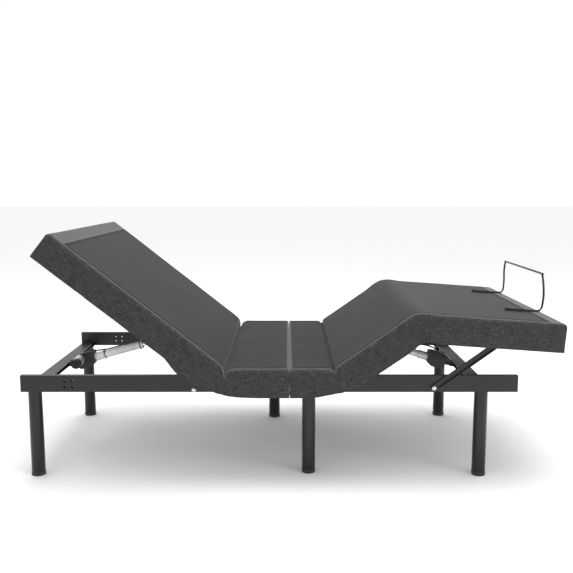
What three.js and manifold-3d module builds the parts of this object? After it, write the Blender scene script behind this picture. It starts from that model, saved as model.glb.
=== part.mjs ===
// Adjustable bed base, twin extra long: a folding steel frame on six legs carries a deck in four
// sections. The head section and the thigh section are raised by linear actuators, and the foot
// section follows the thigh on two links. Millimetres, +Z up, head end towards -X.
// The origin is on the floor, under the middle of the object's length and width.
import * as THREE from 'three';
import { mergeVertices } from 'three/addons/utils/BufferGeometryUtils.js';
import Module from 'manifold-3d';

const wasm = await Module();
wasm.setup();

// ---------------------------------------------------------------- driving dimensions
const gap = 0.3;                     // left between pieces that touch
const splitFromOrigin = 5.65;        // the frame's middle fold, measured from the origin
const deckTop = 429;                 // top of the seat section above the floor
const deckHalfWidth = 482.5;
const hingeDepth = 39.5;             // panel hinge axes below the top of the deck
const hingeHeight = deckTop - hingeDepth;
const skirtDepth = 102;              // side covers, measured down from the top of the deck
const skirtThickness = 10;
const boardUnderside = -0.7;         // deck boards, measured from the hinge axes
const boardTop = 15.3;
const edgeChamfer = 12;              // along the top edges of the covers

const headHingeX = -235.3;           // from the middle fold, as every X below
const thighHingeX = 167.7;
const headLength = 788;
const thighLength = 345.7;
const footLength = 510;
const headRaise = 38.3;              // degrees, as the object stands
const thighRaise = 34.8;
const footDrop = 38.8;               // of the foot section relative to the thigh section
const headRaiseMax = 56;
const thighRaiseMax = 42;
const footDropMax = footDrop * thighRaiseMax / thighRaise;

const rail = { outerY: 404, width: 20, bottom: 327, top: 388, wall: 2, split: 3 };
const headRailEnd = -974.5;
const footRailEnd = 827.2;
const capThickness = 3.5;
const bracketHoles = { x: -800.2, z: 356.2, spacingX: 28, spacingZ: 20.5, radius: 4.5 };

const legRadius = 24.8;
const cornerLegY = 359.2;
const middleLegY = 334.8;
const headLegX = -937.7;
const footLegX = 706.5;
const headMiddleLegX = -67.1;
const footMiddleLegX = 72.2;
const channel = { width: 52, height: 16.5, wall: 2.5 };

const actuatorReach = 37.7;          // clevis pin from the middle of its crossbar
const actuatorHeight = 9;            // clevis pin above the underside of its crossbar
const actuatorTubeEnd = 302;
const headActuator = { slope: 15.34, length: 500.7, stroke: 106 };
const footActuator = { slope: 16.81, length: 378.2, stroke: 55 };

const headLift = { x: -346.2, z: 336, arm: 260, armAngle: 57.6, pinReach: 165, pinAngle: 62, window: 29 };
const thighLift = { x: 190, z: 338, arm: 220, armAngle: 44.7, pinReach: 160, pinAngle: 43, window: 16 };
const liftArmY = 372;                // middle of the lift arms, inside the rails

const link = { x: 522, z: 343, length: 330.7, angle: 36.17, y: 410 };
const driveSlot = { near: 203, far: 380, half: 40, grooveFar: 406, depth: 3.6, pocketFar: 312, top: 22 };
const footBracket = { x: 340, z: -25 };   // upper end of the links, from the knee hinge
const retainer = { radius: 4, halfWidth: 245, x: 502, height: 147, clampX: 404 };

const degrees = Math.PI / 180;

// ---------------------------------------------------------------- solids and booleans
function solid(geometry) {
  const bare = geometry.clone();
  bare.deleteAttribute('normal');
  bare.deleteAttribute('uv');
  const merged = mergeVertices(bare, 1e-4);
  const triVerts = Uint32Array.from(merged.index.array);
  const vertProperties = Float32Array.from(merged.attributes.position.array);
  let made = new wasm.Manifold(new wasm.Mesh({ numProp: 3, vertProperties, triVerts }));
  if (made.volume() < 0) {
    for (let i = 0; i < triVerts.length; i += 3) {
      [triVerts[i], triVerts[i + 1]] = [triVerts[i + 1], triVerts[i]];
    }
    made = new wasm.Manifold(new wasm.Mesh({ numProp: 3, vertProperties, triVerts }));
  }
  return made;
}

function geometryOf(made) {
  const mesh = made.getMesh();
  const geometry = new THREE.BufferGeometry();
  geometry.setAttribute('position', new THREE.BufferAttribute(Float32Array.from(mesh.vertProperties), 3));
  geometry.setIndex(new THREE.BufferAttribute(Uint32Array.from(mesh.triVerts), 1));
  geometry.computeVertexNormals();
  return geometry;
}

const join = (...parts) => parts.reduce((all, part) => all.add(part));
const cut = (body, ...tools) => tools.reduce((left, tool) => left.subtract(tool), body);

// ---------------------------------------------------------------- shapes, all closed
function block(x0, x1, y0, y1, z0, z1) {
  const geometry = new THREE.BoxGeometry(x1 - x0, y1 - y0, z1 - z0);
  return solid(geometry.translate((x0 + x1) / 2, (y0 + y1) / 2, (z0 + z1) / 2));
}

function crossRod(x, z, radius, y0, y1, sides = 20) {
  const geometry = new THREE.CylinderGeometry(radius, radius, y1 - y0, sides);
  return solid(geometry.translate(x, (y0 + y1) / 2, z));
}

function longRod(x0, x1, y, z, radius, sides = 20) {
  const geometry = new THREE.CylinderGeometry(radius, radius, x1 - x0, sides);
  return solid(geometry.rotateZ(Math.PI / 2).translate((x0 + x1) / 2, y, z));
}

function post(x, y, radius, z0, z1, sides = 20) {
  const geometry = new THREE.CylinderGeometry(radius, radius, z1 - z0, sides);
  return solid(geometry.rotateX(Math.PI / 2).translate(x, y, (z0 + z1) / 2));
}

function outline(points) {
  return new THREE.Shape(points.map(([u, v]) => new THREE.Vector2(u, v)));
}

// A side-view outline in X and Z, as wide as y0 to y1.
function sidePlate(points, y0, y1) {
  const geometry = new THREE.ExtrudeGeometry(outline(points), { depth: y1 - y0, bevelEnabled: false });
  return solid(geometry.rotateX(Math.PI / 2).translate(0, y1, 0));
}

// An end-view outline in Y and Z, from x0 to x1.
function alongX(shape, x0, x1) {
  const geometry = new THREE.ExtrudeGeometry(shape, { depth: x1 - x0, bevelEnabled: false });
  const turn = new THREE.Matrix4().makeBasis(
    new THREE.Vector3(0, 1, 0), new THREE.Vector3(0, 0, 1), new THREE.Vector3(1, 0, 0));
  return solid(geometry.applyMatrix4(turn).translate(x0, 0, 0));
}

// A round wire or lead along a smooth curve through the points.
function wire(points, radius, sides, steps, tension = 0.5) {
  const path = new THREE.CatmullRomCurve3(
    points.map(([x, y, z]) => new THREE.Vector3(x, y, z)), false, 'catmullrom', tension);
  const section = new THREE.Shape();
  for (let i = 0; i < sides; i += 1) {
    const angle = 2 * Math.PI * i / sides;
    const corner = [radius * Math.cos(angle), radius * Math.sin(angle)];
    if (i === 0) section.moveTo(...corner);
    else section.lineTo(...corner);
  }
  return solid(new THREE.ExtrudeGeometry(section, { steps, extrudePath: path, bevelEnabled: false }));
}

// ---------------------------------------------------------------- materials
function paint(colour, roughness, metalness = 0) {
  return new THREE.MeshStandardMaterial({ color: colour, roughness, metalness });
}

const finish = {
  steel: () => paint(0x2e3031, 0.5, 0.3),
  zinc: () => paint(0xb9bcbb, 0.35, 0.9),
  silver: () => paint(0xd4d6d4, 0.35, 0.7),
  plastic: () => paint(0x1c1d1e, 0.55),
  board: () => paint(0x8a6a48, 0.8),
  linen: () => paint(0x4a4b4b, 0.95),
  chrome: () => paint(0xd8dadb, 0.15, 1),
};

function piece(name, made, material) {
  const mesh = new THREE.Mesh(geometryOf(made), material);
  mesh.name = name;
  return mesh;
}

function groupAt(x, z, turnAboutY, ...children) {
  const group = new THREE.Group();
  group.position.set(x, 0, z);
  group.rotation.y = turnAboutY * degrees;
  group.add(...children);
  return group;
}

const sides = [['left', -1], ['right', 1]];

// ---------------------------------------------------------------- frame
// One side rail: rectangular tube with half of the fold hinge's eyes welded under its inner end.
function railTube(x0, x1, side, eyes) {
  const inner = rail.outerY - rail.width;
  const y0 = side > 0 ? inner : -rail.outerY;
  const y1 = side > 0 ? rail.outerY : -inner;
  const section = outline([[y0, rail.bottom], [y1, rail.bottom], [y1, rail.top], [y0, rail.top]]);
  const bore = [[y0, rail.bottom], [y0, rail.top], [y1, rail.top], [y1, rail.bottom]];
  const middle = [(y0 + y1) / 2, (rail.bottom + rail.top) / 2];
  section.holes.push(new THREE.Path(bore.map(([y, z]) => new THREE.Vector2(
    y + rail.wall * Math.sign(middle[0] - y), z + rail.wall * Math.sign(middle[1] - z)))));
  return join(alongX(section, x0, x1), ...eyes(side * (inner + rail.width / 2), x1 > 0 ? 1 : -1));
}

const fold = { drop: 6.5, radius: 5.5, pin: 2.6, bore: 2.9 };
const foldZ = rail.bottom - fold.drop;

// The outer two eyes belong to the head rail, the middle one and its pin to the foot rail.
function foldEyes(y, end) {
  const spans = end < 0 ? [[-9.7, -4.7], [4.7, 9.7]] : [[-4.3, 4.3]];
  const eyes = spans.map(([a, b]) => {
    const strap = sidePlate([[0, foldZ - 2], [end * 20, rail.bottom - 2.5], [end * 20, rail.bottom + 0.5],
      [end * 3.5, rail.bottom + 0.5], [0, foldZ + 3]], y + a, y + b);
    const eye = join(strap, crossRod(0, foldZ, fold.radius, y + a, y + b));
    return end < 0 ? cut(eye, crossRod(0, foldZ, fold.bore, y + a - 1, y + b + 1)) : eye;
  });
  if (end > 0) eyes.push(crossRod(0, foldZ, fold.pin, y - 11, y + 11, 14));
  return eyes;
}

function bracketHoleTools(side) {
  const tools = [];
  for (const i of [-1, 1]) {
    for (const k of [-1, 1]) {
      const x = bracketHoles.x + i * bracketHoles.spacingX / 2;
      const z = bracketHoles.z + k * bracketHoles.spacingZ / 2;
      tools.push(crossRod(x, z, bracketHoles.radius, side * 394 - 20, side * 394 + 20));
    }
  }
  return tools;
}

function headRail(side) {
  const tube = railTube(headRailEnd + capThickness + gap, -rail.split, side, foldEyes);
  const boltHole = crossRod(headLift.x, headLift.z, 5.4, side * 394 - 20, side * 394 + 20);
  return cut(tube, ...bracketHoleTools(side), boltHole);
}

function footRail(side) {
  const tube = railTube(rail.split, footRailEnd - capThickness - gap, side, foldEyes);
  const linkHole = crossRod(link.x, link.z, 5.4, side * 394 - 20, side * 394 + 20);
  return cut(tube, linkHole);
}

function railCap(end, side) {
  const y = side * (rail.outerY - rail.width / 2);
  const half = rail.width / 2;
  const face = end < 0 ? [headRailEnd, headRailEnd + capThickness] : [footRailEnd - capThickness, footRailEnd];
  const plug = end < 0 ? [face[1] - 1, face[1] + 15] : [face[0] - 15, face[0] + 1];
  const slack = rail.wall + gap;
  return join(
    block(face[0], face[1], y - half, y + half, rail.bottom, rail.top),
    block(plug[0], plug[1], y - half + slack, y + half - slack, rail.bottom + slack, rail.top - slack));
}

const eyeRadius = 9;
const clevisInner = 16.3;
const clevisOuter = 22;

// Shallow C channel, open towards the middle of the bed, with holes for the leg studs.
function channelBar(x, opensTo, legYs) {
  const half = channel.width / 2;
  const w = channel.wall;
  const u = (a) => x + opensTo * a;
  const profile = [[u(-half), rail.bottom], [u(half), rail.bottom], [u(half), rail.bottom + w],
    [u(-half + w), rail.bottom + w], [u(-half + w), rail.bottom + channel.height - w],
    [u(half), rail.bottom + channel.height - w], [u(half), rail.bottom + channel.height],
    [u(-half), rail.bottom + channel.height]];
  const inner = rail.outerY - rail.width - gap;
  const studs = legYs.map((y) => post(x, y, 5.5, rail.bottom - 1, rail.bottom + w + 1));
  return cut(sidePlate(profile, -inner, inner), ...studs);
}

// Two cheeks and a pin, welded into an end crossbar, hold the rear eye of an actuator.
function clevis(x, opensTo) {
  const u = (a) => x + opensTo * a;
  const half = channel.width / 2;
  const z = rail.bottom + actuatorHeight;
  const cheek = [[u(-half + 1), rail.bottom + 1], [u(actuatorReach), z - eyeRadius],
    [u(actuatorReach + eyeRadius * 0.7), z - eyeRadius * 0.7], [u(actuatorReach + eyeRadius), z],
    [u(actuatorReach + eyeRadius * 0.7), z + eyeRadius * 0.7], [u(actuatorReach), z + eyeRadius],
    [u(-half + 1), rail.bottom + channel.height - 1]];
  const cheeks = [-1, 1].map((s) => sidePlate(cheek,
    Math.min(s * clevisInner, s * clevisOuter), Math.max(s * clevisInner, s * clevisOuter)));
  return join(...cheeks, crossRod(u(actuatorReach), z, 5, -clevisOuter - 3, clevisOuter + 3));
}

function leg(x, y) {
  const top = rail.bottom - gap;
  const bore = legRadius - 1.8;
  const profile = [[0, top + 9], [5, top + 9], [5, top], [legRadius, top], [legRadius, 0],
    [bore, 0], [bore, top - 5], [0, top - 5], [0, top + 9]];
  const turned = new THREE.LatheGeometry(profile.map(([r, z]) => new THREE.Vector2(r, z)), 32);
  return solid(turned.rotateX(Math.PI / 2).translate(x, y, 0));
}

// Domed bolt through a rail, with its nut on the inside.
function pivotBolt(x, z, side, headY, nutY) {
  const y = (a, b) => [Math.min(side * a, side * b), Math.max(side * a, side * b)];
  const dome = new THREE.LatheGeometry([[0, 0], [9, 0], [9, 1.5], [7.4, 3.6], [4.4, 5.2], [0, 5.8], [0, 0]]
    .map(([r, h]) => new THREE.Vector2(r, h)), 20);
  if (side < 0) dome.rotateX(Math.PI);
  return join(
    solid(dome.translate(x, side * headY, z)),
    crossRod(x, z, 5, ...y(nutY - 8, headY + 1)),
    crossRod(x, z, 8.5, ...y(nutY - 6, nutY), 6));
}

// ---------------------------------------------------------------- deck sections
// Removes what lies past a hinge at the local origin, leaning back so that the sections can turn.
function hingeCutter(towards, leanAbove, leanBelow, slack = 0.5) {
  const reach = 120;
  const u = (a) => towards * a;
  const above = reach * Math.tan(leanAbove * degrees);
  const below = reach * Math.tan(leanBelow * degrees);
  return sidePlate([[u(-slack - above), reach], [u(-slack), 0], [u(-slack - below), -reach],
    [u(reach), -reach], [u(reach), reach]], -600, 600);
}

const creaseLean = { head: headRaiseMax / 2, thigh: thighRaiseMax / 2, knee: footDropMax / 2 };

// Board and cover of one section between x0 and x1, in the frame of the hinge height.
function deckBoard(x0, x1, ...tools) {
  const half = deckHalfWidth - skirtThickness - gap;
  return cut(block(x0, x1, -half, half, boardUnderside, boardTop), ...tools);
}

function deckCover(x0, x1, endWalls, ...tools) {
  const w = deckHalfWidth;
  const inner = w - skirtThickness;
  const bottom = hingeDepth - skirtDepth;
  const under = boardTop + gap;
  const section = outline([[-w, bottom], [-w, hingeDepth - edgeChamfer], [-w + edgeChamfer, hingeDepth],
    [w - edgeChamfer, hingeDepth], [w, hingeDepth - edgeChamfer], [w, bottom], [inner, bottom],
    [inner, under], [-inner, under], [-inner, bottom]]);
  const walls = endWalls.map(([a, b]) => block(a, b, -w + 1, w - 1, bottom, under + 1));
  return cut(join(alongX(section, x0, x1), ...walls), ...tools);
}

// Chamfer along the top edge of a free end at x, with the section lying towards -end.
function endChamfer(x, end) {
  return sidePlate([[x - end * edgeChamfer, hingeDepth], [x + end, hingeDepth + 1],
    [x + end, hingeDepth - edgeChamfer - 1], [x, hingeDepth - edgeChamfer]], -600, 600);
}

// Room for the head actuator and the lift frame's lugs when the head section lies flat: a slot
// through the board, a shallow groove beyond it for the outer tube and a pocket in the padding.
function driveRoom() {
  const { near, far, half, grooveFar, depth } = driveSlot;
  return join(block(-far, -near, -half, half, boardUnderside - 1, boardTop + 1),
    block(-grooveFar, -far + 1, -half / 2, half / 2, boardUnderside - 1, depth));
}

function drivePocket() {
  const { near, half, pocketFar, top } = driveSlot;
  return block(-pocketFar, -near, -half, half, boardTop - 1, top);
}

// Lower corner of the covers beside the middle fold, cut back so that the halves can fold.
function splitCorner(end) {
  const z = foldZ - hingeHeight;
  return sidePlate([[0, z + 6], [end * 60, z + 6 - 60], [0, z - 60]], -600, 600);
}

// Leaf hinge under two boards. The fixed leaf carries the outer and middle knuckles,
// the moving leaf the other two and the pin.
const knuckle = { radius: 5, pin: 2.2, bore: 2.5, half: 250, count: 5, slack: 0.4 };

function hingeLeaf(towards, moving) {
  const pitch = 2 * knuckle.half / knuckle.count;
  const parts = [];
  const notches = [];
  for (let i = 0; i < knuckle.count; i += 1) {
    const y0 = -knuckle.half + i * pitch;
    const own = (i % 2 === 1) === moving;
    if (own) parts.push(crossRod(0, 0, knuckle.radius, y0 + knuckle.slack, y0 + pitch - knuckle.slack, 14));
    else notches.push(crossRod(0, 0, knuckle.radius + 1, y0 - knuckle.slack, y0 + pitch + knuckle.slack, 14));
  }
  const plate = block(Math.min(0, towards * 40), Math.max(0, towards * 40),
    -knuckle.half + knuckle.slack, knuckle.half - knuckle.slack, -4, -1.1);
  const leaf = join(cut(plate, ...notches), ...parts);
  if (moving) return join(leaf, crossRod(0, 0, knuckle.pin, -knuckle.half - 3, knuckle.half + 3, 10));
  return cut(leaf, crossRod(0, 0, knuckle.bore, -knuckle.half - 5, knuckle.half + 5, 10));
}

// ---------------------------------------------------------------- lift frames
// Two arms on a cross tube, turning on the low pivots. The nylon-capped ends push the boards up,
// and a pair of slotted lugs takes the pin of the actuator rod. Drawn with the arms along `towards`.
function liftFrame(lift, towards, tubeBore) {
  const u = (a) => towards * a;
  const arms = sides.map(([, s]) => {
    const y0 = s * liftArmY - 4;
    return join(block(Math.min(0, u(lift.arm)), Math.max(0, u(lift.arm)), y0, y0 + 8, -12, 12),
      crossRod(0, 0, 14, y0, y0 + 8), crossRod(u(lift.arm), 0, 13, y0, y0 + 8),
      crossRod(u(lift.arm), 0, 13, Math.min(s * 342, s * 370), Math.max(s * 342, s * 370)));
  });
  const lugs = [-1, 1].map((s) => {
    const y0 = s * 24.5 - 4;
    const turn = (lift.pinAngle - lift.armAngle) * degrees;
    const px = u(lift.pinReach * Math.cos(turn));
    const pz = lift.pinReach * Math.sin(turn);
    const ring = lift.window + 6;
    const length = lift.pinReach;
    const bar = sidePlate([[0, -16], [u(length), -16], [u(length), 16], [0, 16]], y0, y0 + 8)
      .rotate([0, -towards * (lift.pinAngle - lift.armAngle), 0]);
    const plate = join(bar, crossRod(px, pz, ring, y0, y0 + 8, 28));
    return cut(plate, crossRod(px, pz, lift.window, y0 - 1, y0 + 9, 28));
  });
  const tube = crossRod(0, 0, 14, -liftArmY, liftArmY);
  const core = crossRod(0, 0, tubeBore, -liftArmY + 4, liftArmY - 4);
  const ends = crossRod(0, 0, 5.4, -liftArmY - 10, liftArmY + 10);
  return cut(join(tube, ...arms, ...lugs), core, ends);
}

// ---------------------------------------------------------------- actuators
// Drawn along +X from the rear pin. The motor stands out sideways from the gearbox.
const motorTilt = 4;
const motor = { x: 41, z: 12, radius: 20.5, nearY: -99, capLength: 15, boltCircle: 15 };
const housing = { x0: 24, x1: 98, half: 27, z0: -30, z1: 29, chamfer: 8 };

function gearbox() {
  const { x0, x1, half, z0, z1, chamfer } = housing;
  const profile = [[x0 + chamfer, z0], [x1 - 22, z0], [x1, z0 + 12], [x1, z1 - 4], [x1 - 4, z1],
    [x0 + chamfer, z1], [x0, z1 - chamfer], [x0, z0 + chamfer]];
  const body = sidePlate(profile, -half, half);
  const ribs = [-1, 1].map((s) => sidePlate([[x0 + 14, z0 + 6], [x1 - 14, z0 + 10], [x1 - 14, z1 - 10],
    [x0 + 14, z1 - 6]], Math.min(s * (half - 1), s * (half + 2)), Math.max(s * (half - 1), s * (half + 2))));
  const lid = block(x0 + 10, x1 - 10, -half + 8, half - 8, z1 - 1, z1 + 2.5);
  const snout = block(8, x0 + 2, -15.5, 15.5, -9, 9);
  const eye = crossRod(0, 0, eyeRadius, -15.5, 15.5);
  const flange = sidePlate([[x0, 12 - motor.radius], [x0 + 38, -12], [x0 + 38, 33], [x0, 33]], -half - 4, -half + 1);
  const motorRoom = crossRod(motor.x, motor.z, motor.radius - 3.7, -130, -half - 1);
  const mouth = longRod(90, x1 + 5, 0, 0, 10.5);
  return cut(join(body, ...ribs, lid, snout, eye, flange), crossRod(0, 0, 5.4, -30, 30), motorRoom, mouth);
}

// The can, with its end cap and the nose that seats in the gearbox's flange.
function motorCan() {
  const { x, z, radius, nearY, capLength } = motor;
  const canEnd = -housing.half - 4 - gap - 1.5;
  const can = crossRod(x, z, radius, nearY + capLength, canEnd, 28);
  const cap = crossRod(x, z, radius - 1, nearY, nearY + capLength + 1, 28);
  const boss = crossRod(x, z, 6.5, nearY - 4, nearY + 1, 14);
  const nose = crossRod(0, 0, radius - 4.5, canEnd - 3, -housing.half - 1.6, 24).translate([x, 0, z]);
  const bolts = [0, 1, 2].map((i) => {
    const angle = (i * 120 + 30) * degrees;
    return crossRod(x + motor.boltCircle * Math.cos(angle), z + motor.boltCircle * Math.sin(angle), 2.2,
      nearY - 1.8, nearY + 1, 8);
  });
  const turned = join(can, cap, boss, ...bolts).translate([0, -canEnd, -z]).rotate([motorTilt, 0, 0]);
  return join(turned.translate([0, canEnd, z]), nose);
}

function outerTube() {
  const start = housing.x1 + gap;
  const body = join(longRod(start, start + 38, 0, 0, 17.5, 28), longRod(start, actuatorTubeEnd, 0, 0, 15, 28));
  const bead = longRod(actuatorTubeEnd - 9, actuatorTubeEnd, 0, 0, 16.5, 28);
  return cut(join(body, bead), longRod(start + 10, actuatorTubeEnd + 1, 0, 0, 12, 24));
}

// The rod and the cross pin that runs in the lugs of the lift frame.
function actuatorRod(length, stroke) {
  return join(longRod(119 + stroke, length, 0, 0, 9, 20), crossRod(length, 0, 11, -14, 14),
    crossRod(length, 0, 6, -34, 34, 16));
}

// ---------------------------------------------------------------- links and retainer
function footLink(side) {
  const y0 = side > 0 ? link.y - 4 : -link.y;
  const y1 = y0 + 4;
  const bar = block(0, link.length, y0, y1, -11, 11);
  const lip = block(16, link.length - 18, Math.min(y0, y0 + side * 8), Math.max(y1, y1 + side * 4), -11, -8);
  const ends = [0, link.length].map((x) => crossRod(x, 0, x > 0 ? 13 : 11, y0, y1, 24));
  const holes = [crossRod(0, 0, 5.4, y0 - 1, y1 + 1), crossRod(link.length, 0, 9.6, y0 - 1, y1 + 1)];
  return cut(join(bar, lip, ...ends), ...holes);
}

// Steel angle under the foot board with the pin that the link's slotted upper end turns on.
function linkBracket(side) {
  const y = (a, b) => [Math.min(side * a, side * b), Math.max(side * a, side * b)];
  const x = footBracket.x;
  const z = footBracket.z;
  const inner = link.y - 16;
  const ear = sidePlate([[x - 26, boardUnderside - gap], [x + 26, boardUnderside - gap], [x + 9, z - 9],
    [x - 9, z - 9]], ...y(inner, inner + 4));
  const flange = block(x - 26, x + 26, ...y(inner - 26, inner + 1), boardUnderside - gap - 4,
    boardUnderside - gap);
  return join(ear, flange, crossRod(x, z, 5, ...y(inner + 1, link.y + 9)));
}

function retainerBar() {
  const { radius, halfWidth, x, height } = retainer;
  const low = hingeDepth + 5.5;
  const top = hingeDepth + height;
  const half = [[-119, 0, low], [-60, 0, low], [-20, 0, low], [-4, 1, low + 4], [0, 2, low + 20],
    [0, 5, low + 60], [-4, 4, top - 46], [-7, -6, top - 14], [-8, -17, top - 2], [-8, -34, top]];
  const near = half.map(([dx, dy, z]) => [x + dx, -halfWidth - dy, z]);
  const far = half.map(([dx, dy, z]) => [x + dx, halfWidth + dy, z]).reverse();
  return wire([...near, ...far], radius, 8, 64, 0.35);
}

// Clamp block on the deck with a socket for the end of the bar, and its thumb screw.
function retainerClamp(side) {
  const x = retainer.clampX;
  const y = side * retainer.halfWidth;
  const z = hingeDepth + gap;
  const base = block(x - 26, x + 26, y - 14, y + 14, z, z + 2.5);
  const barrel = block(x - 24, x + 24, y - 8, y + 8, z, z + 10.5);
  const screw = join(post(x - 34, y, 3, z, z + 6, 12), post(x - 34, y, 7, z + 4, z + 11, 16));
  const tongue = block(x - 40, x - 20, y - 6, y + 6, z, z + 3);
  const socket = longRod(x - 24.5, x + 30, y, hingeDepth + 5.5, retainer.radius + gap, 12);
  return cut(join(base, barrel, tongue, screw), socket);
}

// ---------------------------------------------------------------- leads and control box
const controlBox = { x0: -205, x1: -105, half: 62, z0: 344, z1: 384 };

function controlHousing() {
  const { x0, x1, half, z0, z1 } = controlBox;
  const shell = block(x0, x1, -half, half, z0, z1);
  const inlet = block(x0 + 30, x0 + 58, half - 12, half + 1, z0 + 10, z0 + 30);
  return cut(shell, inlet);
}

const headLeadRoute = [[-852, -12, 386.5], [-827, -9, 394], [-802, -6, 391], [-775, -5, 394],
  [-750.7, -4, 397.4], [-692.8, -4, 413], [-635, -5, 429.4], [-612, -8, 436], [-587, -18, 431], [-545, -38, 407],
  [-495, -52, 381], [-440, -58, 367], [-390, -60, 362], [-346, -60, 361], [-300, -60, 364],
  [-260, -56, 367], [-230, -50, 366], [-205.5, -48, 366]];
const footLeadRoute = [[626, 12, 388], [604, 20, 398], [570, 42, 404], [524, 55, 407], [480, 61, 407],
  [440, 64, 403], [400, 65, 394], [350, 65, 380], [290, 64, 366], [230, 63, 359], [180, 62, 357],
  [120, 58, 357], [70, 54, 357], [40, 52, 358], [26.5, 52, 358]];
const extensionRoute = [[-3, 52, 358], [-18, 52, 357.5], [-45, 51, 357], [-70, 50, 358], [-88, 48, 361],
  [-104.5, 46, 362]];
const leadRadius = 3;

// Moulded connector where the foot lead meets the extension lead, beside the middle fold.
function leadPlug() {
  return block(4, 28, 45, 59, 351, 365);
}

// ---------------------------------------------------------------- assembly
const headFrame = [];
const footFrame = [];
for (const [name, side] of sides) {
  headFrame.push(
    piece(`head_rail_${name}`, headRail(side), finish.steel()),
    piece(`head_rail_cap_${name}`, railCap(-1, side), finish.plastic()),
    piece(`head_leg_${name}`, leg(headLegX, side * cornerLegY), finish.steel()),
    piece(`lift_pivot_bolt_${name}`, pivotBolt(headLift.x, headLift.z, side, rail.outerY + gap,
      liftArmY - 4 - gap), finish.zinc()));
  footFrame.push(
    piece(`foot_rail_${name}`, footRail(side), finish.steel()),
    piece(`foot_rail_cap_${name}`, railCap(1, side), finish.plastic()),
    piece(`foot_leg_${name}`, leg(footLegX, side * cornerLegY), finish.steel()),
    piece(`link_pivot_bolt_${name}`, pivotBolt(link.x, link.z, side, link.y + gap,
      rail.outerY - rail.width - gap), finish.zinc()));
}
const cornerLegs = [-cornerLegY, cornerLegY];
headFrame.push(
  piece('head_crossbar', join(channelBar(headLegX, 1, cornerLegs), clevis(headLegX, 1)), finish.steel()),
  piece('head_middle_crossbar', channelBar(headMiddleLegX, -1, [middleLegY]), finish.steel()),
  piece('head_middle_leg', leg(headMiddleLegX, middleLegY), finish.steel()),
  piece('control_box', controlHousing(), finish.plastic()),
  piece('head_motor_lead', wire(headLeadRoute, leadRadius, 8, 60), finish.plastic()),
  piece('extension_lead', wire(extensionRoute, leadRadius, 8, 12), finish.plastic()));
footFrame.push(
  piece('foot_crossbar', join(channelBar(footLegX, -1, cornerLegs), clevis(footLegX, -1)), finish.steel()),
  piece('foot_middle_crossbar', channelBar(footMiddleLegX, 1, [-middleLegY]), finish.steel()),
  piece('foot_middle_leg', leg(footMiddleLegX, -middleLegY), finish.steel()),
  piece('foot_motor_lead', join(wire(footLeadRoute, leadRadius, 8, 60), leadPlug()), finish.plastic()));

const seatA = [headHingeX, -rail.split];
const seatB = [rail.split, thighHingeX];
const boardGap = 9;
const atHead = (tool) => tool.translate([headHingeX, 0, 0]);
const atThigh = (tool) => tool.translate([thighHingeX, 0, 0]);
const seat = groupAt(0, hingeHeight, 0,
  piece('head_seat_board', deckBoard(seatA[0] + boardGap, seatA[1]), finish.board()),
  piece('head_seat_cover', deckCover(...seatA, [], atHead(hingeCutter(-1, creaseLean.head, 0)),
    splitCorner(-1)), finish.linen()),
  piece('foot_seat_board', deckBoard(seatB[0], seatB[1] - boardGap), finish.board()),
  piece('foot_seat_cover', deckCover(...seatB, [], atThigh(hingeCutter(1, creaseLean.thigh, 0)),
    splitCorner(1)), finish.linen()));
const headHingeFixed = groupAt(headHingeX, hingeHeight, 0,
  piece('head_hinge_fixed_leaf', hingeLeaf(1, false), finish.zinc()));
const thighHingeFixed = groupAt(thighHingeX, hingeHeight, 0,
  piece('thigh_hinge_fixed_leaf', hingeLeaf(-1, false), finish.zinc()));

const headDeck = groupAt(headHingeX, hingeHeight, headRaise,
  piece('head_board', deckBoard(-headLength + skirtThickness + gap, -boardGap, driveRoom()), finish.board()),
  piece('head_cover', deckCover(-headLength, 0, [[-headLength, -headLength + skirtThickness]],
    hingeCutter(1, creaseLean.head, 0), endChamfer(-headLength, -1), drivePocket()), finish.linen()),
  piece('head_hinge_moving_leaf', hingeLeaf(-1, true), finish.zinc()));

const footDeck = groupAt(thighLength, 0, footDrop,
  piece('foot_board', deckBoard(boardGap, footLength - skirtThickness - gap), finish.board()),
  piece('foot_cover', deckCover(0, footLength, [[footLength - skirtThickness, footLength]],
    hingeCutter(-1, 0, creaseLean.knee), endChamfer(footLength, 1)), finish.linen()),
  piece('knee_hinge_moving_leaf', hingeLeaf(1, true), finish.zinc()),
  piece('retainer_bar', retainerBar(), finish.steel()),
  ...sides.map(([name, side]) => piece(`retainer_clamp_${name}`, retainerClamp(side), finish.zinc())),
  ...sides.map(([name, side]) => piece(`link_bracket_${name}`, linkBracket(side), finish.steel())));

const thighDeck = groupAt(thighHingeX, hingeHeight, -thighRaise,
  piece('thigh_board', deckBoard(boardGap, thighLength - boardGap), finish.board()),
  piece('thigh_cover', deckCover(0, thighLength, [], hingeCutter(-1, creaseLean.thigh, 0),
    hingeCutter(1, 0, creaseLean.knee).translate([thighLength, 0, 0])), finish.linen()),
  piece('thigh_hinge_moving_leaf', hingeLeaf(1, true), finish.zinc()),
  groupAt(thighLength, 0, 0, piece('knee_hinge_fixed_leaf', hingeLeaf(-1, false), finish.zinc())),
  footDeck);

const headLiftFrame = groupAt(headLift.x, headLift.z, headLift.armAngle,
  piece('head_lift_frame', liftFrame(headLift, -1, 11), finish.steel()));
const thighLiftFrame = groupAt(thighLift.x, thighLift.z, -thighLift.armAngle,
  piece('thigh_lift_frame', liftFrame(thighLift, 1, 11), finish.steel()));

const pinHeight = rail.bottom + actuatorHeight;
const headDrive = groupAt(headLegX + actuatorReach, pinHeight, -headActuator.slope,
  piece('head_actuator_motor', motorCan(), finish.silver()),
  piece('head_actuator_gearbox', gearbox(), finish.plastic()),
  piece('head_actuator_tube', outerTube(), finish.silver()),
  piece('head_actuator_rod', actuatorRod(headActuator.length, headActuator.stroke), finish.chrome()));
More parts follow.
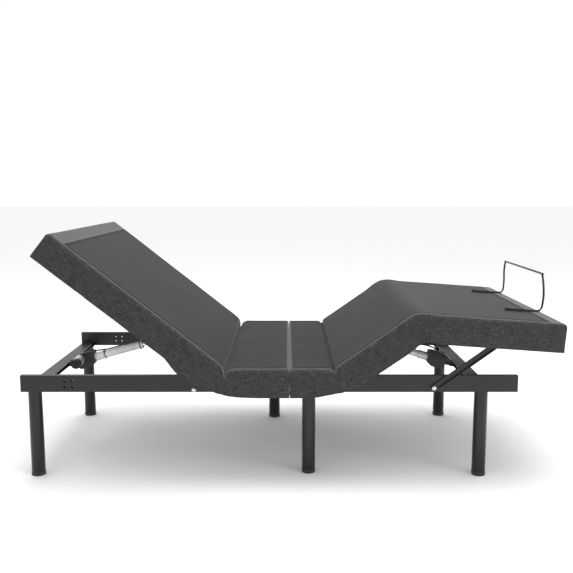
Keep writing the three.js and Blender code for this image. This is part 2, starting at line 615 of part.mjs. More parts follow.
// The foot actuator is the same unit turned end for end.
const footDrive = new THREE.Group();
footDrive.position.set(footLegX - actuatorReach, 0, pinHeight);
footDrive.rotation.set(0, -footActuator.slope * degrees, Math.PI, 'ZYX');
footDrive.add(
  piece('foot_actuator_motor', motorCan(), finish.silver()),
  piece('foot_actuator_gearbox', gearbox(), finish.plastic()),
  piece('foot_actuator_tube', outerTube(), finish.silver()),
  piece('foot_actuator_rod', actuatorRod(footActuator.length, footActuator.stroke), finish.chrome()));

const links = groupAt(link.x, link.z, -link.angle,
  ...sides.map(([name, side]) => piece(`foot_link_${name}`, footLink(side), finish.steel())));

const bed = new THREE.Group();
bed.position.x = splitFromOrigin;
bed.add(...headFrame, ...footFrame, seat, headHingeFixed, thighHingeFixed, headDeck, thighDeck,
  headLiftFrame, thighLiftFrame, headDrive, footDrive, links);

const object = new THREE.Group();
object.add(bed);
export default object;
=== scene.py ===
import math

import bmesh
import bpy
import numpy as np
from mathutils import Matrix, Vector
from mathutils.noise import noise


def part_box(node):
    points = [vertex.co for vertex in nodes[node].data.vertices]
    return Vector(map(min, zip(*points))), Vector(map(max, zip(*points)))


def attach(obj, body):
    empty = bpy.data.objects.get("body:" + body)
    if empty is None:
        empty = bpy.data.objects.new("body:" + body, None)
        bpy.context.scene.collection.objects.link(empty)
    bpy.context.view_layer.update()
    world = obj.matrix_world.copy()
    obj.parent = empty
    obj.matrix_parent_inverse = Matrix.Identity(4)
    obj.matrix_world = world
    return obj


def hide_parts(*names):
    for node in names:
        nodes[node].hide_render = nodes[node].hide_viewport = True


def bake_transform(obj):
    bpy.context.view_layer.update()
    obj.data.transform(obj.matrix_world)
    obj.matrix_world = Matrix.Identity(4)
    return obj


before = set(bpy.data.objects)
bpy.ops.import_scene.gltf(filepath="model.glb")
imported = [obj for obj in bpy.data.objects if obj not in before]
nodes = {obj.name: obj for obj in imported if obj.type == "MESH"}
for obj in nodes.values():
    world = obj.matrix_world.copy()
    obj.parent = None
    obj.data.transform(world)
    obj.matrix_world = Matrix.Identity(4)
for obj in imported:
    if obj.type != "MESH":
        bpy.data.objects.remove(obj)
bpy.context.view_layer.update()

MM = 0.001
SHIFT = 5.65                 # the frame's middle fold, in mm from the origin
HEAD_HINGE = -235.3 + SHIFT  # deck hinges, mm
THIGH_HINGE = 167.7 + SHIFT
HINGE_LEVEL = 389.5
KNEE = 345.7                 # from the thigh hinge
HEAD_END = -235.3 - 788.0 + SHIFT
FOOT_END = 167.7 + 345.7 + 515.0 + SHIFT
SPLIT = 0.2
HALF_WIDTH = 482.5
TOP = 39.5                   # deck surface above the hinges
HEM = -62.5
HEAD_RAISE = math.radians(38.3)
THIGH_RAISE = math.radians(34.8)
KNEE_DROP = math.radians(38.8)

WORLD_LIGHT = 1.0            # even white light from all round
OVERHEAD_WATTS = 125.0       # softbox over the deck
RIGHT_WATTS = 22.0           # strip light beyond the foot end
MOTOR_TILT = math.radians(4.0)
MOTOR_CAP = 0.0195           # length of the black end cap, m


# ------------------------------------------------------------------ camera, light and floor
def place_camera():
    data = bpy.data.cameras.new("camera")
    data.lens = 45.24
    data.sensor_width = 36.0
    data.clip_end = 100.0
    camera = bpy.data.objects.new("camera", data)
    camera.location = (-0.0051, -2.9379, 1.0572)
    camera.rotation_euler = (math.radians(82.265), 0.0, 0.0)
    bpy.context.collection.objects.link(camera)
    bpy.context.scene.camera = camera


def area_light(name, location, target, size, power):
    data = bpy.data.lights.new(name, "AREA")
    data.shape = "RECTANGLE"
    data.size, data.size_y = size
    data.energy = power
    light = bpy.data.objects.new(name, data)
    light.location = location
    aim = Vector(target) - Vector(location)
    light.rotation_euler = aim.to_track_quat("-Z", "Y").to_euler()
    bpy.context.collection.objects.link(light)


def studio():
    bpy.context.scene.view_settings.view_transform = "Standard"
    world = bpy.data.worlds.new("studio")
    world.use_nodes = True
    background = world.node_tree.nodes["Background"]
    background.inputs["Color"].default_value = (1.0, 1.0, 1.0, 1.0)
    background.inputs["Strength"].default_value = WORLD_LIGHT
    bpy.context.scene.world = world
    area_light("overhead", (0.1, 0.1, 3.6), (0.0, 0.0, 0.3), (3.6, 2.6), OVERHEAD_WATTS)
    area_light("right", (3.2, -2.4, 1.5), (0.0, 0.0, 0.3), (1.4, 1.8), RIGHT_WATTS)
    bpy.ops.mesh.primitive_plane_add(size=80.0, location=(0.0, 0.0, -0.0012))
    floor = bpy.context.object
    floor.name = "floor"
    material = bpy.data.materials.new("floor")
    material.use_nodes = True
    shader = material.node_tree.nodes["Principled BSDF"]
    shader.inputs["Base Color"].default_value = (0.93, 0.93, 0.93, 1.0)
    shader.inputs["Roughness"].default_value = 0.9
    floor.data.materials.append(material)


# ------------------------------------------------------------------ materials
class Nodes:
    """A material's node tree, with short ways to add and join nodes."""

    def __init__(self, name):
        self.material = bpy.data.materials.new(name)
        self.material.use_nodes = True
        self.tree = self.material.node_tree
        self.shader = self.tree.nodes["Principled BSDF"]

    def add(self, kind, **settings):
        node = self.tree.nodes.new(kind)
        for key, value in settings.items():
            if key in node.inputs:
                node.inputs[key].default_value = value
            else:
                setattr(node, key, value)
        return node

    def join(self, source, target):
        self.tree.links.new(source, target)

    def fix(self, **values):
        for key, value in values.items():
            self.shader.inputs[key.replace("_", " ")].default_value = value

    def stretched_noise(self, coordinates, stretch, scale=1.0, detail=2.0):
        mapping = self.add("ShaderNodeMapping")
        mapping.inputs["Scale"].default_value = stretch
        self.join(coordinates, mapping.inputs["Vector"])
        texture = self.add("ShaderNodeTexNoise", Scale=scale, Detail=detail)
        self.join(mapping.outputs["Vector"], texture.inputs["Vector"])
        return texture.outputs["Fac"]

    def ramp(self, factor, stops):
        node = self.add("ShaderNodeValToRGB")
        elements = node.color_ramp.elements
        while len(elements) < len(stops):
            elements.new(0.5)
        for element, (position, level) in zip(elements, stops):
            element.position = position
            element.color = (*level, 1.0) if isinstance(level, tuple) else (level, level, level, 1.0)
        self.join(factor, node.inputs["Fac"])
        return node.outputs["Color"]

    def blend(self, kind, factor, a, b):
        node = self.add("ShaderNodeMix", data_type="RGBA", blend_type=kind)
        if isinstance(factor, float):
            node.inputs["Factor"].default_value = factor
        else:
            self.join(factor, node.inputs["Factor"])
        for value, slot in ((a, node.inputs[6]), (b, node.inputs[7])):
            if isinstance(value, tuple):
                slot.default_value = (*value, 1.0)
            else:
                self.join(value, slot)
        return node.outputs[2]

    def bump(self, height, strength, distance, under=None):
        node = self.add("ShaderNodeBump", Strength=strength, Distance=distance)
        self.join(height, node.inputs["Height"])
        if under is not None:
            self.join(under, node.inputs["Normal"])
        return node.outputs["Normal"]


def math_node(made, operation, a, b=None):
    node = made.add("ShaderNodeMath", operation=operation)
    for value, slot in zip((a, b), node.inputs):
        if value is None:
            continue
        if isinstance(value, (int, float)):
            slot.default_value = value
        else:
            made.join(value, slot)
    return node.outputs["Value"]


def linen(name, dark, light):
    """Coarse woven cover with slubs along both threads. The UV map is the flat cloth, in metres."""
    made = Nodes(name)
    cloth = made.add("ShaderNodeUVMap").outputs["UV"]
    weft = made.stretched_noise(cloth, (30.0, 430.0, 1.0), detail=3.0)
    warp = made.stretched_noise(cloth, (430.0, 30.0, 1.0), detail=3.0)
    patches = made.stretched_noise(cloth, (7.0, 9.0, 1.0), detail=3.0)
    threads = math_node(made, "ADD", math_node(made, "MULTIPLY", weft, 0.6),
                        math_node(made, "MULTIPLY", warp, 0.4))
    tone = math_node(made, "ADD", threads, math_node(made, "MULTIPLY", patches, 0.05))
    made.join(made.ramp(tone, ((0.38, dark), (0.56, tuple((d + l) / 2 for d, l in zip(dark, light))),
                               (0.76, light))), made.shader.inputs["Base Color"])
    fine_weft = made.stretched_noise(cloth, (120.0, 900.0, 1.0), detail=1.0)
    fine_warp = made.stretched_noise(cloth, (900.0, 120.0, 1.0), detail=1.0)
    normal = made.bump(math_node(made, "ADD", fine_weft, fine_warp), 0.5, 0.0008)
    normal = made.bump(threads, 0.6, 0.0016, normal)
    made.join(normal, made.shader.inputs["Normal"])
    made.fix(Roughness=0.9, Sheen_Weight=0.38, Sheen_Roughness=0.35, Specular_IOR_Level=0.15)
    return made.material


def top_fabric():
    """Plain dark non-slip fabric of the deck's top."""
    made = Nodes("top_fabric")
    cloth = made.add("ShaderNodeUVMap").outputs["UV"]
    patches = made.stretched_noise(cloth, (5.0, 6.0, 1.0), detail=4.0)
    grain = made.stretched_noise(cloth, (420.0, 420.0, 1.0), detail=2.0)
    tone = math_node(made, "ADD", math_node(made, "MULTIPLY", patches, 0.6),
                     math_node(made, "MULTIPLY", grain, 0.4))
    made.join(made.ramp(tone, ((0.38, (0.0045, 0.0047, 0.0050)), (0.62, (0.0085, 0.0088, 0.0093)))),
              made.shader.inputs["Base Color"])
    weave = made.stretched_noise(cloth, (800.0, 800.0, 1.0), detail=1.0)
    made.join(made.bump(weave, 0.35, 0.0006), made.shader.inputs["Normal"])
    made.fix(Roughness=0.72, Sheen_Weight=0.14, Sheen_Roughness=0.35, Specular_IOR_Level=0.15)
    return made.material


def coated(name, colour, roughness, grain=900.0, strength=0.12, metallic=0.0, wear=0.0, coat=0.0,
           shine=0.5):
    """Painted, plated or moulded surface with a fine grain and slightly uneven gloss."""
    made = Nodes(name)
    place = made.add("ShaderNodeTexCoord").outputs["Object"]
    speckle = made.add("ShaderNodeTexNoise", Scale=grain, Detail=2.0)
    cloud = made.add("ShaderNodeTexNoise", Scale=9.0, Detail=4.0)
    made.join(place, speckle.inputs["Vector"])
    made.join(place, cloud.inputs["Vector"])
    darker = tuple(c * 0.82 for c in colour)
    lighter = tuple(min(1.0, c * 1.18 + wear) for c in colour)
    made.join(made.ramp(cloud.outputs["Fac"], ((0.35, darker), (0.68, lighter))),
              made.shader.inputs["Base Color"])
    gloss = made.add("ShaderNodeMapRange")
    made.join(cloud.outputs["Fac"], gloss.inputs["Value"])
    gloss.inputs["To Min"].default_value = roughness - 0.07
    gloss.inputs["To Max"].default_value = roughness + 0.07
    made.join(gloss.outputs["Result"], made.shader.inputs["Roughness"])
    made.join(made.bump(speckle.outputs["Fac"], strength, 0.0004), made.shader.inputs["Normal"])
    made.fix(Metallic=metallic, Coat_Weight=coat, Coat_Roughness=0.25, Specular_IOR_Level=shine)
    return made


def motor_finish(name, mesh, side):
    """Light silver can with a black end cap. The motor points to +Y or -Y by side."""
    axis = Vector((0.0, side * math.cos(MOTOR_TILT), -math.sin(MOTOR_TILT)))
    limit = max(axis.dot(v.co) for v in mesh.vertices) - MOTOR_CAP
    made = coated(name, (0.62, 0.63, 0.62), 0.36, metallic=0.35)
    place = made.add("ShaderNodeTexCoord").outputs["Object"]
    along = made.add("ShaderNodeVectorMath", operation="DOT_PRODUCT")
    made.join(place, along.inputs[0])
    along.inputs[1].default_value = axis
    past = math_node(made, "GREATER_THAN", along.outputs["Value"], limit)
    colour_input = made.shader.inputs["Base Color"]
    silver = colour_input.links[0].from_socket
    made.join(made.blend("MIX", past, silver, (0.018, 0.018, 0.019)), colour_input)
    return made.material


def paint_nodes():
    """Gives every carried-over CAD node its procedural material and smooth round surfaces."""
    steel = coated("black_steel", (0.009, 0.0092, 0.0096), 0.36, grain=1400.0, strength=0.18,
                   shine=0.42).material
    leg_paint = coated("leg_paint", (0.004, 0.0042, 0.0045), 0.26, grain=1400.0, strength=0.12,
                       shine=0.42).material
    zinc = coated("zinc", (0.60, 0.61, 0.60), 0.30, grain=500.0, metallic=1.0).material
    silver = coated("silver", (0.74, 0.75, 0.74), 0.38, grain=600.0, metallic=0.25).material
    plastic = coated("black_plastic", (0.014, 0.0145, 0.015), 0.48, grain=700.0, strength=0.3).material
    underside = coated("dust_cover", (0.020, 0.020, 0.021), 0.9, grain=350.0, strength=0.5).material
    polished = coated("polished_steel", (0.70, 0.71, 0.72), 0.16, grain=300.0, strength=0.03,
                      metallic=1.0).material
    rubber = coated("lead_jacket", (0.012, 0.012, 0.013), 0.5, grain=900.0, strength=0.1).material
    for name, node in nodes.items():
        if name.endswith("_board"):
            material = underside
        elif "_leg" in name and not name.endswith("lead"):
            material = leg_paint
        elif name.endswith("_leaf") or "bolt" in name:
            material = zinc
        elif name.endswith("actuator_tube"):
            material = silver
        elif name.endswith("actuator_rod"):
            material = polished
        elif name.endswith("_lead"):
            material = rubber
        elif "gearbox" in name or "cap_" in name or "clamp" in name or name == "control_box":
            material = plastic
        elif name.endswith("_motor"):
            side = -1.0 if name.startswith("head") else 1.0
            material = motor_finish(f"{name}_finish", node.data, side)
        else:
            material = steel
        node.data.materials.clear()
        node.data.materials.append(material)
        node.data.polygons.foreach_set("use_smooth", [True] * len(node.data.polygons))
        node.data.set_sharp_from_angle(angle=math.radians(32.0))
    return {"plastic": plastic, "rubber": rubber}


# ------------------------------------------------------------------ upholstery, all in mm
def smoothstep(t):
    t = np.clip(t, 0.0, 1.0)
    return t * t * (3.0 - 2.0 * t)


def turned(x, z, angle):
    """Turned about +Y: the head end rises as the angle grows."""
    return x * np.cos(angle) + z * np.sin(angle), -x * np.sin(angle) + z * np.cos(angle)


def smooth_curve(at, knots, values):
    """Catmull-Rom curve through values at the knots."""
    knots = np.asarray(knots, float)
    values = np.asarray(values, float)
    slopes = np.gradient(values, knots)
    k = np.clip(np.searchsorted(knots, at) - 1, 0, len(knots) - 2)
    h = knots[k + 1] - knots[k]
    t = np.clip((at - knots[k]) / h, 0.0, 1.0)
    return ((2 * t**3 - 3 * t**2 + 1) * values[k] + (t**3 - 2 * t**2 + t) * h * slopes[k]
            + (-2 * t**3 + 3 * t**2) * values[k + 1] + (t**3 - t**2) * h * slopes[k + 1])


def hem_curve(s, knots, points, before, after):
    """Where the lower edge lies: before and after give the straight stretches beside the curve."""
    x = smooth_curve(s, knots, [p[0] for p in points])
    z = smooth_curve(s, knots, [p[1] for p in points])
    first, last = knots[0], knots[-1]
    bx, bz = before(s)
    ax, az = after(s)
    x = np.where(s < first, bx, np.where(s > last, ax, x))
    z = np.where(s < first, bz, np.where(s > last, az, z))
    return x, z


def head_half_at_rest(x, z):
    """From the flat deck to the raised head section, about the head hinge."""
    s = x - HEAD_HINGE
    sharp = HEAD_RAISE * (1.0 - smoothstep((s + 14.0) / 28.0))
    ux, uz = turned(s, np.maximum(z, 0.0), sharp)
    head = lambda q: turned(q, HEM, HEAD_RAISE)
    seat = lambda q: (q, np.full_like(q, HEM))
    start = turned(-209.5, HEM, HEAD_RAISE)
    knots = (-209.5, -145.0, -83.0, -25.0, 17.0, 84.0, 125.0)
    points = (start, (-157.2, 22.8), (-97.3, -13.2), (-36.3, -39.2), (7.1, -53.5), (78.7, -61.0),
              (125.0, HEM))
    lx, lz = hem_curve(s, knots, points, head, seat)
    f = np.clip(-z / -HEM, 0.0, 1.0)
    return HEAD_HINGE + ux * (1 - f) + lx * f, HINGE_LEVEL + uz * (1 - f) + lz * f


KNEE_HALF = 72.0


def foot_half_at_rest(x, z):
    """From the flat deck to the raised thigh section and the foot section hinged to it."""
    s = x - THIGH_HINGE
    drop = KNEE_DROP * smoothstep((s - KNEE + KNEE_HALF) / (2 * KNEE_HALF))
    kx, kz = turned(s - KNEE, z, drop)
    kx = kx + KNEE
    lift = -THIGH_RAISE * smoothstep((s + 30.0) / 60.0)
    ux, uz = turned(kx, kz, lift)
    level_x, level_z = turned(kx, kz - z, lift)
    seat = lambda q: (q, np.full_like(q, HEM))
    thigh = lambda q: turned(q, HEM, -THIGH_RAISE)
    end = turned(128.0, HEM, -THIGH_RAISE)
    knots = (-88.0, -34.0, 17.0, 69.0, 128.0)
    points = ((-88.0, HEM), (-26.0, -51.5), (30.5, -38.5), (84.6, -12.5), end)
    lx, lz = hem_curve(s, knots, points, seat, thigh)
    f = np.clip(-z / -HEM, 0.0, 1.0)
    near = s < 128.0
    ux = np.where(near & (z < 0), level_x * (1 - f) + lx * f, ux)
    uz = np.where(near & (z < 0), level_z * (1 - f) + lz * f, uz)
    return THIGH_HINGE + ux, HINGE_LEVEL + uz


def soft_minimum(a, b, k):
    return -k * np.log(np.exp(-a / k) + np.exp(-b / k))


def head_crease(x):
    """Height of the deck's top: it dips into the crease over the head hinge."""
    slope = 0.95 if x < HEAD_HINGE else 1.25
    return float(soft_minimum(TOP, 11.0 + slope * abs(x - HEAD_HINGE), 6.5))


def thigh_crease(x):
    return TOP - 9.0 * math.exp(-((x - THIGH_HINGE) / 15.0) ** 2)


ROUND = 13.0          # radius of the deck's upper edges
INSET = 26.0          # from the outer face to where the flat top starts
SQUARENESS = 0.32     # below 1, a corner in plan is tighter than a quarter circle
SEAM = 3.0            # width of the sewn bead between top fabric and linen


def side_levels():
    """(share of the way out, drop of the arc, share of the way down the skirt) for each level."""
    levels = [(0.25, 0.0, 0.0), (0.5, 0.0, 0.0)]
    for k in range(1, 7):
        angle = math.radians(15.0 * k)
        levels.append(((INSET - ROUND + ROUND * math.sin(angle)) / INSET, ROUND * (1 - math.cos(angle)), 0.0))
    for k in range(1, 13):
        levels.append((1.0, ROUND, k / 12.0))
    return levels


def wobble(x, y, z, seed):
    return noise(Vector((x + seed * 17.3, y - seed * 5.1, z + seed * 3.7)))


def shell(name, start, end, closed_start, closed_end, crease, borders, at_rest, ripple):
    """Upholstery of the deck from start to end. borders are where linen gives way to top fabric."""
    inset_start = 9.0 if closed_start == "split" else INSET
    inset_end = 9.0 if closed_end == "split" else INSET
    first = start + (inset_start if closed_start else 0.0)
    last = end - (inset_end if closed_end else 0.0)
    lines = {first, last}
    for at, step, reach in ripple["lines"]:
        lines.update(v for v in np.arange(at - reach, at + reach + 0.1, step) if first < v < last)
    for at in borders:
        lines.update(v for v in (at - SEAM, at - SEAM / 2, at, at + SEAM / 2, at + SEAM) if first < v < last)
    dense = sorted(lines)
    xs = [dense[0]]
    for v in dense[1:]:
        pieces = max(1, math.ceil((v - xs[-1]) / 13.0))
        base = xs[-1]
        for i in range(1, pieces + 1):
            candidate = base + (v - base) * i / pieces
            if candidate - xs[-1] > 0.9:
                xs.append(candidate)
    xs[-1] = last
    flat_half = HALF_WIDTH - INSET
    ys = [-flat_half, -flat_half + SEAM / 2, -flat_half + SEAM, -flat_half + 2 * SEAM]
    ys += list(np.linspace(-flat_half + 4 * SEAM, flat_half - 4 * SEAM, 34))
    ys += [flat_half - 2 * SEAM, flat_half - SEAM, flat_half - SEAM / 2, flat_half]

    bm = bmesh.new()
    uv_layer = bm.loops.layers.uv.new("cloth")
    linen_zones = [(min(a, b), max(a, b)) for a, b in ripple["linen"]]

    def linen_at(x):
        return any(a - 0.01 <= x <= b + 0.01 for a, b in linen_zones)

    def bead(x, y):
        """Raised sewn line along the edge between the two fabrics."""
        gap_side = abs(abs(y) - (flat_half - SEAM / 2))
        gap_end = min([abs(x - at) for at in borders] or [99.0])
        height = 0.0
        if not linen_at(x) and gap_side < SEAM * 0.4:
            height = 1.6
        if gap_end < SEAM * 0.6 and abs(y) < flat_half:
            height = 1.6
        return height

    def patch(rows, material):
        """rows of (x, y, z, u, v); material is a number or a function of the patch's middle."""
        made = [[bm.verts.new(p[:3]) for p in row] for row in rows]
        for i in range(len(rows) - 1):
            for j in range(len(rows[0]) - 1):
                corners = ((i, j), (i, j + 1), (i + 1, j + 1), (i + 1, j))
                places = [rows[a][b] for a, b in corners]
                distinct = []
                for (a, b), p in zip(corners, places):
                    if all((Vector(p[:3]) - Vector(q[1][:3])).length > 1e-4 for q in distinct):
                        distinct.append(((a, b), p))
                if len(distinct) < 3:
                    continue
                face = bm.faces.new([made[a][b] for (a, b), _ in distinct])
                face.smooth = True
                middle = sum((Vector(p[:3]) for _, p in distinct), Vector()) / len(distinct)
                face.material_index = material(middle) if callable(material) else material
                for loop, (_, p) in zip(face.loops, distinct):
                    loop[uv_layer].uv = (p[3] * MM, p[4] * MM)

    def top_material(middle):
        return 0 if linen_at(middle.x) else 1

    patch([[(x, y, crease(x) + bead(x, y), x, y) for y in ys] for x in xs], top_material)
    levels = [(0.0, 0.0, 0.0)] + side_levels()

    def level_z(top, drop, down):
        return (top - drop) + (HEM - (top - drop)) * down

    def travel(out, drop, down, top):
        return out * INSET + 0.6 * drop + down * (top - ROUND - HEM)

    for side in (-1, 1):
        rows = []
        for x in xs:
            top = crease(x)
            rows.append([(x, side * (flat_half + out * INSET), level_z(top, drop, down), x,
                          side * (flat_half + travel(out, drop, down, top))) for out, drop, down in levels])
        patch(rows, 0)
    for closed, x, way, inset in ((closed_start, first, -1, inset_start), (closed_end, last, 1, inset_end)):
        if not closed:
            continue
        top = crease(x)
        patch([[(x + way * out * inset, y, level_z(top, drop, down),
                 x + way * travel(out, drop, down, top), y) for out, drop, down in levels] for y in ys], 0)
        for side in (-1, 1):
            fan = []
            for k in range(7):
                along = math.sin(math.radians(15.0 * k)) ** SQUARENESS
                across = max(0.0, math.cos(math.radians(15.0 * k))) ** SQUARENESS if k < 6 else 0.0
                fan.append([(x + way * out * inset * along, side * (flat_half + out * INSET * across),
                             level_z(top, drop, down), x + way * travel(out, drop, down, top) * along,
                             side * (flat_half + travel(out, drop, down, top) * across))
                            for out, drop, down in levels])
            patch(fan, 0)
    bmesh.ops.remove_doubles(bm, verts=bm.verts, dist=1e-3)
    bmesh.ops.recalc_face_normals(bm, faces=bm.faces)
    highest = max(bm.faces, key=lambda f: f.calc_center_median().z)
    if highest.normal.z < 0:
        bmesh.ops.reverse_faces(bm, faces=bm.faces)

    bm.verts.ensure_lookup_table()
    flat = np.array([v.co for v in bm.verts])
    offsets = np.array([soft_offset(v.co, v.normal, ripple) for v in bm.verts])
    moved = flat + offsets
    rx, rz = at_rest(moved[:, 0], moved[:, 2])
    for v, x, y, z in zip(bm.verts, rx, moved[:, 1], rz):
        v.co = (x * MM, y * MM, z * MM)
    bm.normal_update()
    bmesh.ops.solidify(bm, geom=list(bm.faces), thickness=2.0 * MM)
    mesh = bpy.data.meshes.new(name)
    bm.to_mesh(mesh)
    bm.free()
    mesh.set_sharp_from_angle(angle=math.radians(60.0))
    obj = bpy.data.objects.new(name, mesh)
    bpy.context.collection.objects.link(obj)
    return obj


def soft_offset(place, normal, ripple):
    """Slack, puckers and wrinkles of the cloth, in mm."""
    x, y, z = place
    out = Vector((0.0, 0.0, 0.0))
    on_top = max(0.0, normal.z) ** 2
    upright = 1.0 - on_top
    down = min(1.0, max(0.0, (TOP - z) / (TOP - HEM)))
    out += normal * (on_top * 0.9 * wobble(x / 170.0, y / 170.0, 0.0, 1)
                     + upright * down * 1.9 * wobble(x / 75.0, z / 60.0, y / 400.0, 2)
                     + upright * 0.7 * wobble(x / 26.0, z / 40.0, y / 400.0, 5))
    out.z += down**3 * 1.3 * wobble(x / 60.0, y / 300.0, 0.0, 3)
    to_split = x - SHIFT
    if abs(to_split) < 14.0:
        out.x = math.copysign(1.0, to_split) * 1.5 * max(0.0, wobble(0.0, y / 55.0, z / 90.0, 7)) ** 0.7
    for at, width, depth, pitch, seed in ripple["puckers"]:
        near = math.exp(-((x - at) / width) ** 2)
        phase = 2 * math.pi * (x - at) / pitch + 1.5 * wobble(x / 30.0, z / 30.0, 0.0, seed)
        out += normal * (upright * near * down * depth * (math.sin(phase)))
    for at, width, depth, pitch, seed in ripple["wrinkles"]:
        near = math.exp(-((x - at) / width) ** 2)
        wave = math.sin(2 * math.pi * (x - at) / pitch + 2.5 * wobble(x / 60.0, y / 90.0, 0.0, seed))
        out.z += on_top * near * depth * wave * (0.6 + 0.7 * wobble(y / 110.0, x / 80.0, 0.0, seed + 4))
    return out


def upholster():
    linen_cloth = linen("linen", (0.012, 0.0124, 0.0124), (0.076, 0.079, 0.077))
    dark = top_fabric()
    cut = THIGH_HINGE + 175.0
    head = shell("head_upholstery", HEAD_END, SHIFT - SPLIT, "end", "split", head_crease, [HEAD_END + 66.0],
                 head_half_at_rest,
                 {"lines": [(HEAD_HINGE, 3.0, 33.0), (HEAD_HINGE, 8.0, 130.0)],
                  "linen": [(HEAD_END, HEAD_END + 66.0)],
                  "puckers": [(HEAD_HINGE - 20.0, 70.0, 2.2, 38.0, 11)],
                  "wrinkles": [(HEAD_HINGE - 38.0, 16.0, 1.6, 30.0, 12),
                               (HEAD_HINGE + 36.0, 14.0, 1.8, 30.0, 13)]})
    seat = shell("thigh_upholstery", SHIFT + SPLIT, cut, "split", None, thigh_crease, [],
                 foot_half_at_rest,
                 {"lines": [(THIGH_HINGE, 3.0, 36.0), (THIGH_HINGE, 8.0, 120.0)], "linen": [],
                  "puckers": [(THIGH_HINGE - 5.0, 60.0, 2.0, 34.0, 21)],
                  "wrinkles": [(THIGH_HINGE, 26.0, 3.2, 17.0, 22)]})
    foot = shell("foot_upholstery", cut, FOOT_END, None, "end", lambda x: TOP, [FOOT_END - 56.0],
                 foot_half_at_rest,
                 {"lines": [(THIGH_HINGE + KNEE, 4.0, 92.0)], "linen": [(FOOT_END - 56.0, FOOT_END)],
                  "puckers": [(THIGH_HINGE + KNEE, 34.0, 3.0, 17.0, 31)],
                  "wrinkles": [(THIGH_HINGE + KNEE - 70.0, 60.0, 0.9, 60.0, 32)]})
    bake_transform(head)
    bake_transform(seat)
    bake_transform(foot)
    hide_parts("head_cover", "head_seat_cover")
    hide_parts("foot_seat_cover", "thigh_cover")
    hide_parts("foot_cover")
    for obj in (head, seat, foot):
        obj.data.materials.append(linen_cloth)
        obj.data.materials.append(dark)


# ------------------------------------------------------------------ tubes, leads and small parts
def catmull(points, count):
    """Catmull-Rom samples through the points, evenly in parameter."""
    p = [Vector(q) for q in points]
    p = [p[0] * 2 - p[1]] + p + [p[-1] * 2 - p[-2]]
    spans = len(p) - 3
    samples = []
    for i in range(count + 1):
        t = i / count * spans
        k = min(int(t), spans - 1)
        t -= k
        a, b, c, d = p[k:k + 4]
        samples.append(0.5 * ((2 * b) + (c - a) * t + (2 * a - 5 * b + 4 * c - d) * t * t
                              + (3 * b - a - 3 * c + d) * t**3))
    return samples


def tube(name, path, radius, material, sides=12, closed=False):
    """A round tube along the path, in metres, with flat ends."""
    bm = bmesh.new()
    rings = []
    up = Vector((0.0, 0.0, 1.0))
    count = len(path)
    for i, point in enumerate(path):
        ahead = path[(i + 1) % count] if closed or i + 1 < count else path[i]
        behind = path[i - 1] if closed or i > 0 else path[i]
        along = (ahead - behind).normalized()
        side = along.cross(up)
        if side.length < 1e-3:
            side = along.cross(Vector((1.0, 0.0, 0.0)))
        side.normalize()
        if rings and side.dot(last_side) < 0:
            side = -side
        last_side = side
        over = side.cross(along)
        rings.append([bm.verts.new(point + radius * (math.cos(a) * side + math.sin(a) * over))
                      for a in (2 * math.pi * k / sides for k in range(sides))])
    pairs = list(zip(rings, rings[1:]))
    if closed:
        pairs.append((rings[-1], rings[0]))
    for a, b in pairs:
        for k in range(sides):
            face = bm.faces.new((a[k], a[(k + 1) % sides], b[(k + 1) % sides], b[k]))
            face.smooth = True
    if not closed:
        bm.faces.new(rings[0])
        bm.faces.new(list(reversed(rings[-1])))
    bmesh.ops.recalc_face_normals(bm, faces=bm.faces)
    mesh = bpy.data.meshes.new(name)
    bm.to_mesh(mesh)
    bm.free()
    mesh.materials.append(material)
    obj = bpy.data.objects.new(name, mesh)
    bpy.context.collection.objects.link(obj)
    return obj


def lathe(name, profile, centre, material, sides=40):
    """Turned about a vertical axis at centre. profile is (radius, height) in mm, closed."""
    bm = bmesh.new()
    rings = []
    for radius, height in profile:
        z = centre[2] + height * MM
        if radius == 0.0:
            rings.append([bm.verts.new((centre[0], centre[1], z))])
            continue
        rings.append([bm.verts.new((centre[0] + radius * MM * math.cos(a),
                                    centre[1] + radius * MM * math.sin(a), z))
                      for a in (2 * math.pi * k / sides for k in range(sides))])
    for a, b in zip(rings, rings[1:] + rings[:1]):
        for k in range(sides):
            corners = [a[k % len(a)], a[(k + 1) % len(a)], b[(k + 1) % len(b)], b[k % len(b)]]
            corners = list(dict.fromkeys(corners))
            if len(corners) > 2:
                face = bm.faces.new(corners)
                face.smooth = True
    bmesh.ops.recalc_face_normals(bm, faces=bm.faces)
    mesh = bpy.data.meshes.new(name)
    bm.to_mesh(mesh)
    bm.free()
    mesh.set_sharp_from_angle(angle=math.radians(35.0))
    mesh.materials.append(material)
    obj = bpy.data.objects.new(name, mesh)
    bpy.context.collection.objects.link(obj)
    return obj


HEAD_LEAD = [(-852, -12, 386.5), (-827, -9, 394), (-802, -6, 391), (-775, -5, 394), (-750.7, -4, 397.4),
             (-692.8, -4, 413), (-635, -5, 429.4), (-612, -8, 436), (-587, -18, 431), (-545, -38, 407),
             (-495, -52, 381),
             (-440, -58, 367), (-390, -60, 362), (-346, -60, 361), (-300, -60, 364), (-260, -56, 367),
             (-230, -50, 366), (-205.5, -48, 366)]
FOOT_LEAD = [(626, 12, 388), (604, 20, 398), (570, 42, 404), (524, 55, 407), (480, 61, 407), (440, 64, 403),
             (400, 65, 394), (350, 65, 380), (290, 64, 366), (230, 63, 359), (180, 62, 357), (120, 58, 357),
             (70, 54, 357), (40, 52, 358), (26.5, 52, 358)]


LEAD_DIAMETER = 0.006


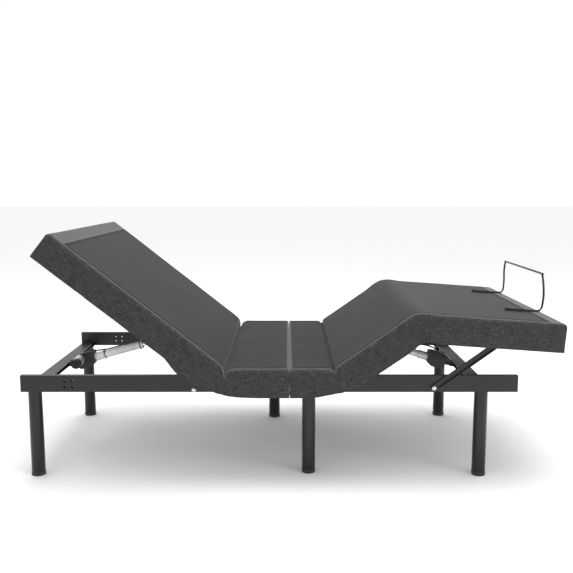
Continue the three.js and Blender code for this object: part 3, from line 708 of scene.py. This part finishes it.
def leads(finish):
    for name, route, body, near, far in (
            ("head_lead", HEAD_LEAD, "head_actuator", -600.0, -360.0),
            ("foot_lead", FOOT_LEAD, "foot_actuator", 430.0, 230.0)):
        points = [((x + SHIFT) * MM, y * MM, z * MM) for x, y, z in route]
        path = catmull(points, 120)
        lead = tube(name, path, LEAD_DIAMETER / 2, finish["rubber"])
        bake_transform(lead)
        if name.startswith("head"):
            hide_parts("head_motor_lead")
        else:
            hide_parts("foot_motor_lead")


def connector(finish):
    """Moulded plug on the foot lead, beside the middle fold."""
    bm = bmesh.new()
    bmesh.ops.create_cube(bm, size=1.0)
    x0, x1, y0, y1, z0, z1 = 4 + SHIFT, 28 + SHIFT, 45, 59, 351, 365
    for v in bm.verts:
        v.co = Vector((x0 + (x1 - x0) * (v.co.x + 0.5), y0 + (y1 - y0) * (v.co.y + 0.5),
                       z0 + (z1 - z0) * (v.co.z + 0.5))) * MM
    bmesh.ops.bevel(bm, geom=list(bm.edges), offset=0.0025, segments=3, affect="EDGES", profile=0.6)
    for face in bm.faces:
        face.smooth = True
    mesh = bpy.data.meshes.new("lead_connector")
    bm.to_mesh(mesh)
    bm.free()
    mesh.materials.append(finish["plastic"])
    obj = bpy.data.objects.new("lead_connector", mesh)
    bpy.context.collection.objects.link(obj)
    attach(obj, "foot_frame")


# (radius, height) in mm of a cup around the bottom of a leg
GLIDE_PROFILE = [(0.0, -0.8), (23.6, -0.8), (25.6, 0.9), (25.8, 9.5), (25.3, 11.6), (24.9, 12.0),
                 (24.9, -0.3), (0.0, -0.3)]


def glides(finish):
    for name, node in nodes.items():
        if "_leg" not in name:
            continue
        low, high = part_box(name)
        centre = ((low.x + high.x) / 2, (low.y + high.y) / 2, 0.0)
        cup = lathe(f"{name}_glide", GLIDE_PROFILE, centre, finish["plastic"])
        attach(cup, "head_frame" if name.startswith("head") else "foot_frame")


ACTUATOR_SLOPE = math.radians(15.34)
ACTUATOR_PIN = (-900.0, 0.336)          # rear pin: mm from the middle fold, m above the floor
TIES = ((141.0, -4.2, 16.1), (292.0, -7.0, 17.4))  # mm along the actuator, lead's Y, band's radius


def cable_ties(finish):
    """Bands that hold the head lead on top of the actuator's outer tube."""
    origin = Vector(((ACTUATOR_PIN[0] + SHIFT) * MM, 0.0, ACTUATOR_PIN[1]))
    along = Vector((math.cos(ACTUATOR_SLOPE), 0.0, math.sin(ACTUATOR_SLOPE)))
    over = Vector((-math.sin(ACTUATOR_SLOPE), 0.0, math.cos(ACTUATOR_SLOPE)))
    across = Vector((0.0, 1.0, 0.0))
    for index, (at, lead_y, radius) in enumerate(TIES):
        path = []
        for k in range(40):
            angle = 2 * math.pi * k / 40
            y = radius * math.sin(angle)
            z = radius * math.cos(angle)
            lobe = max(0.0, math.cos(angle - math.radians(lead_y * 3))) ** 10
            y += lead_y * 0.6 * lobe
            z += 5.6 * lobe
            path.append(origin + (at * along + z * over + y * across) * MM)
        band = tube(f"cable_tie_{index + 1}", path, 0.0019, finish["plastic"], sides=8, closed=True)
        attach(band, "head_actuator")


place_camera()
studio()
finishes = paint_nodes()
leads(finishes)
connector(finishes)
upholster()
glides(finishes)
cable_ties(finishes)
